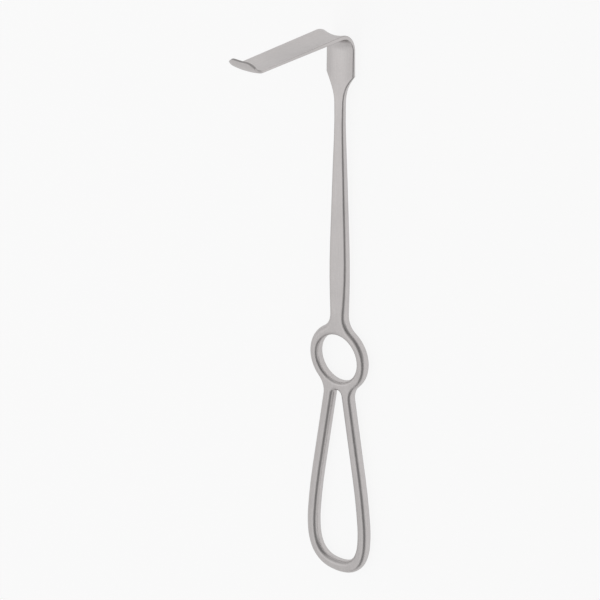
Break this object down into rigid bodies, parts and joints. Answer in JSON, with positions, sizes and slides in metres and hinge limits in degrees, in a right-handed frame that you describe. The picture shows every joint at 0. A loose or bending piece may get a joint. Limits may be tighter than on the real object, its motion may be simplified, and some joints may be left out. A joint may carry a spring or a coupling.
{
  "type": "surgical retractor",
  "caption": "Handheld surgical retractor: teardrop loop handle with a finger ring, tapered shank and a right-angled troughed blade with an upturned lip.",
  "frame": {"origin": "middle of the underside of the bounding box, in the plane that the handle's back lies on", "axes": "+Y along the handle from the loop to the blade, +Z away from the surface the handle lies on, the way the blade rises, +X across, with the part symmetric about x = 0"},
  "size_m": [0.0296, 0.2241, 0.0587],
  "materials": {
    "satin_steel": "satin, finely ground lengthwise"
  },
  "bodies": {
    "root": {"retractor": "satin_steel"}
  },
  "joints": []
}
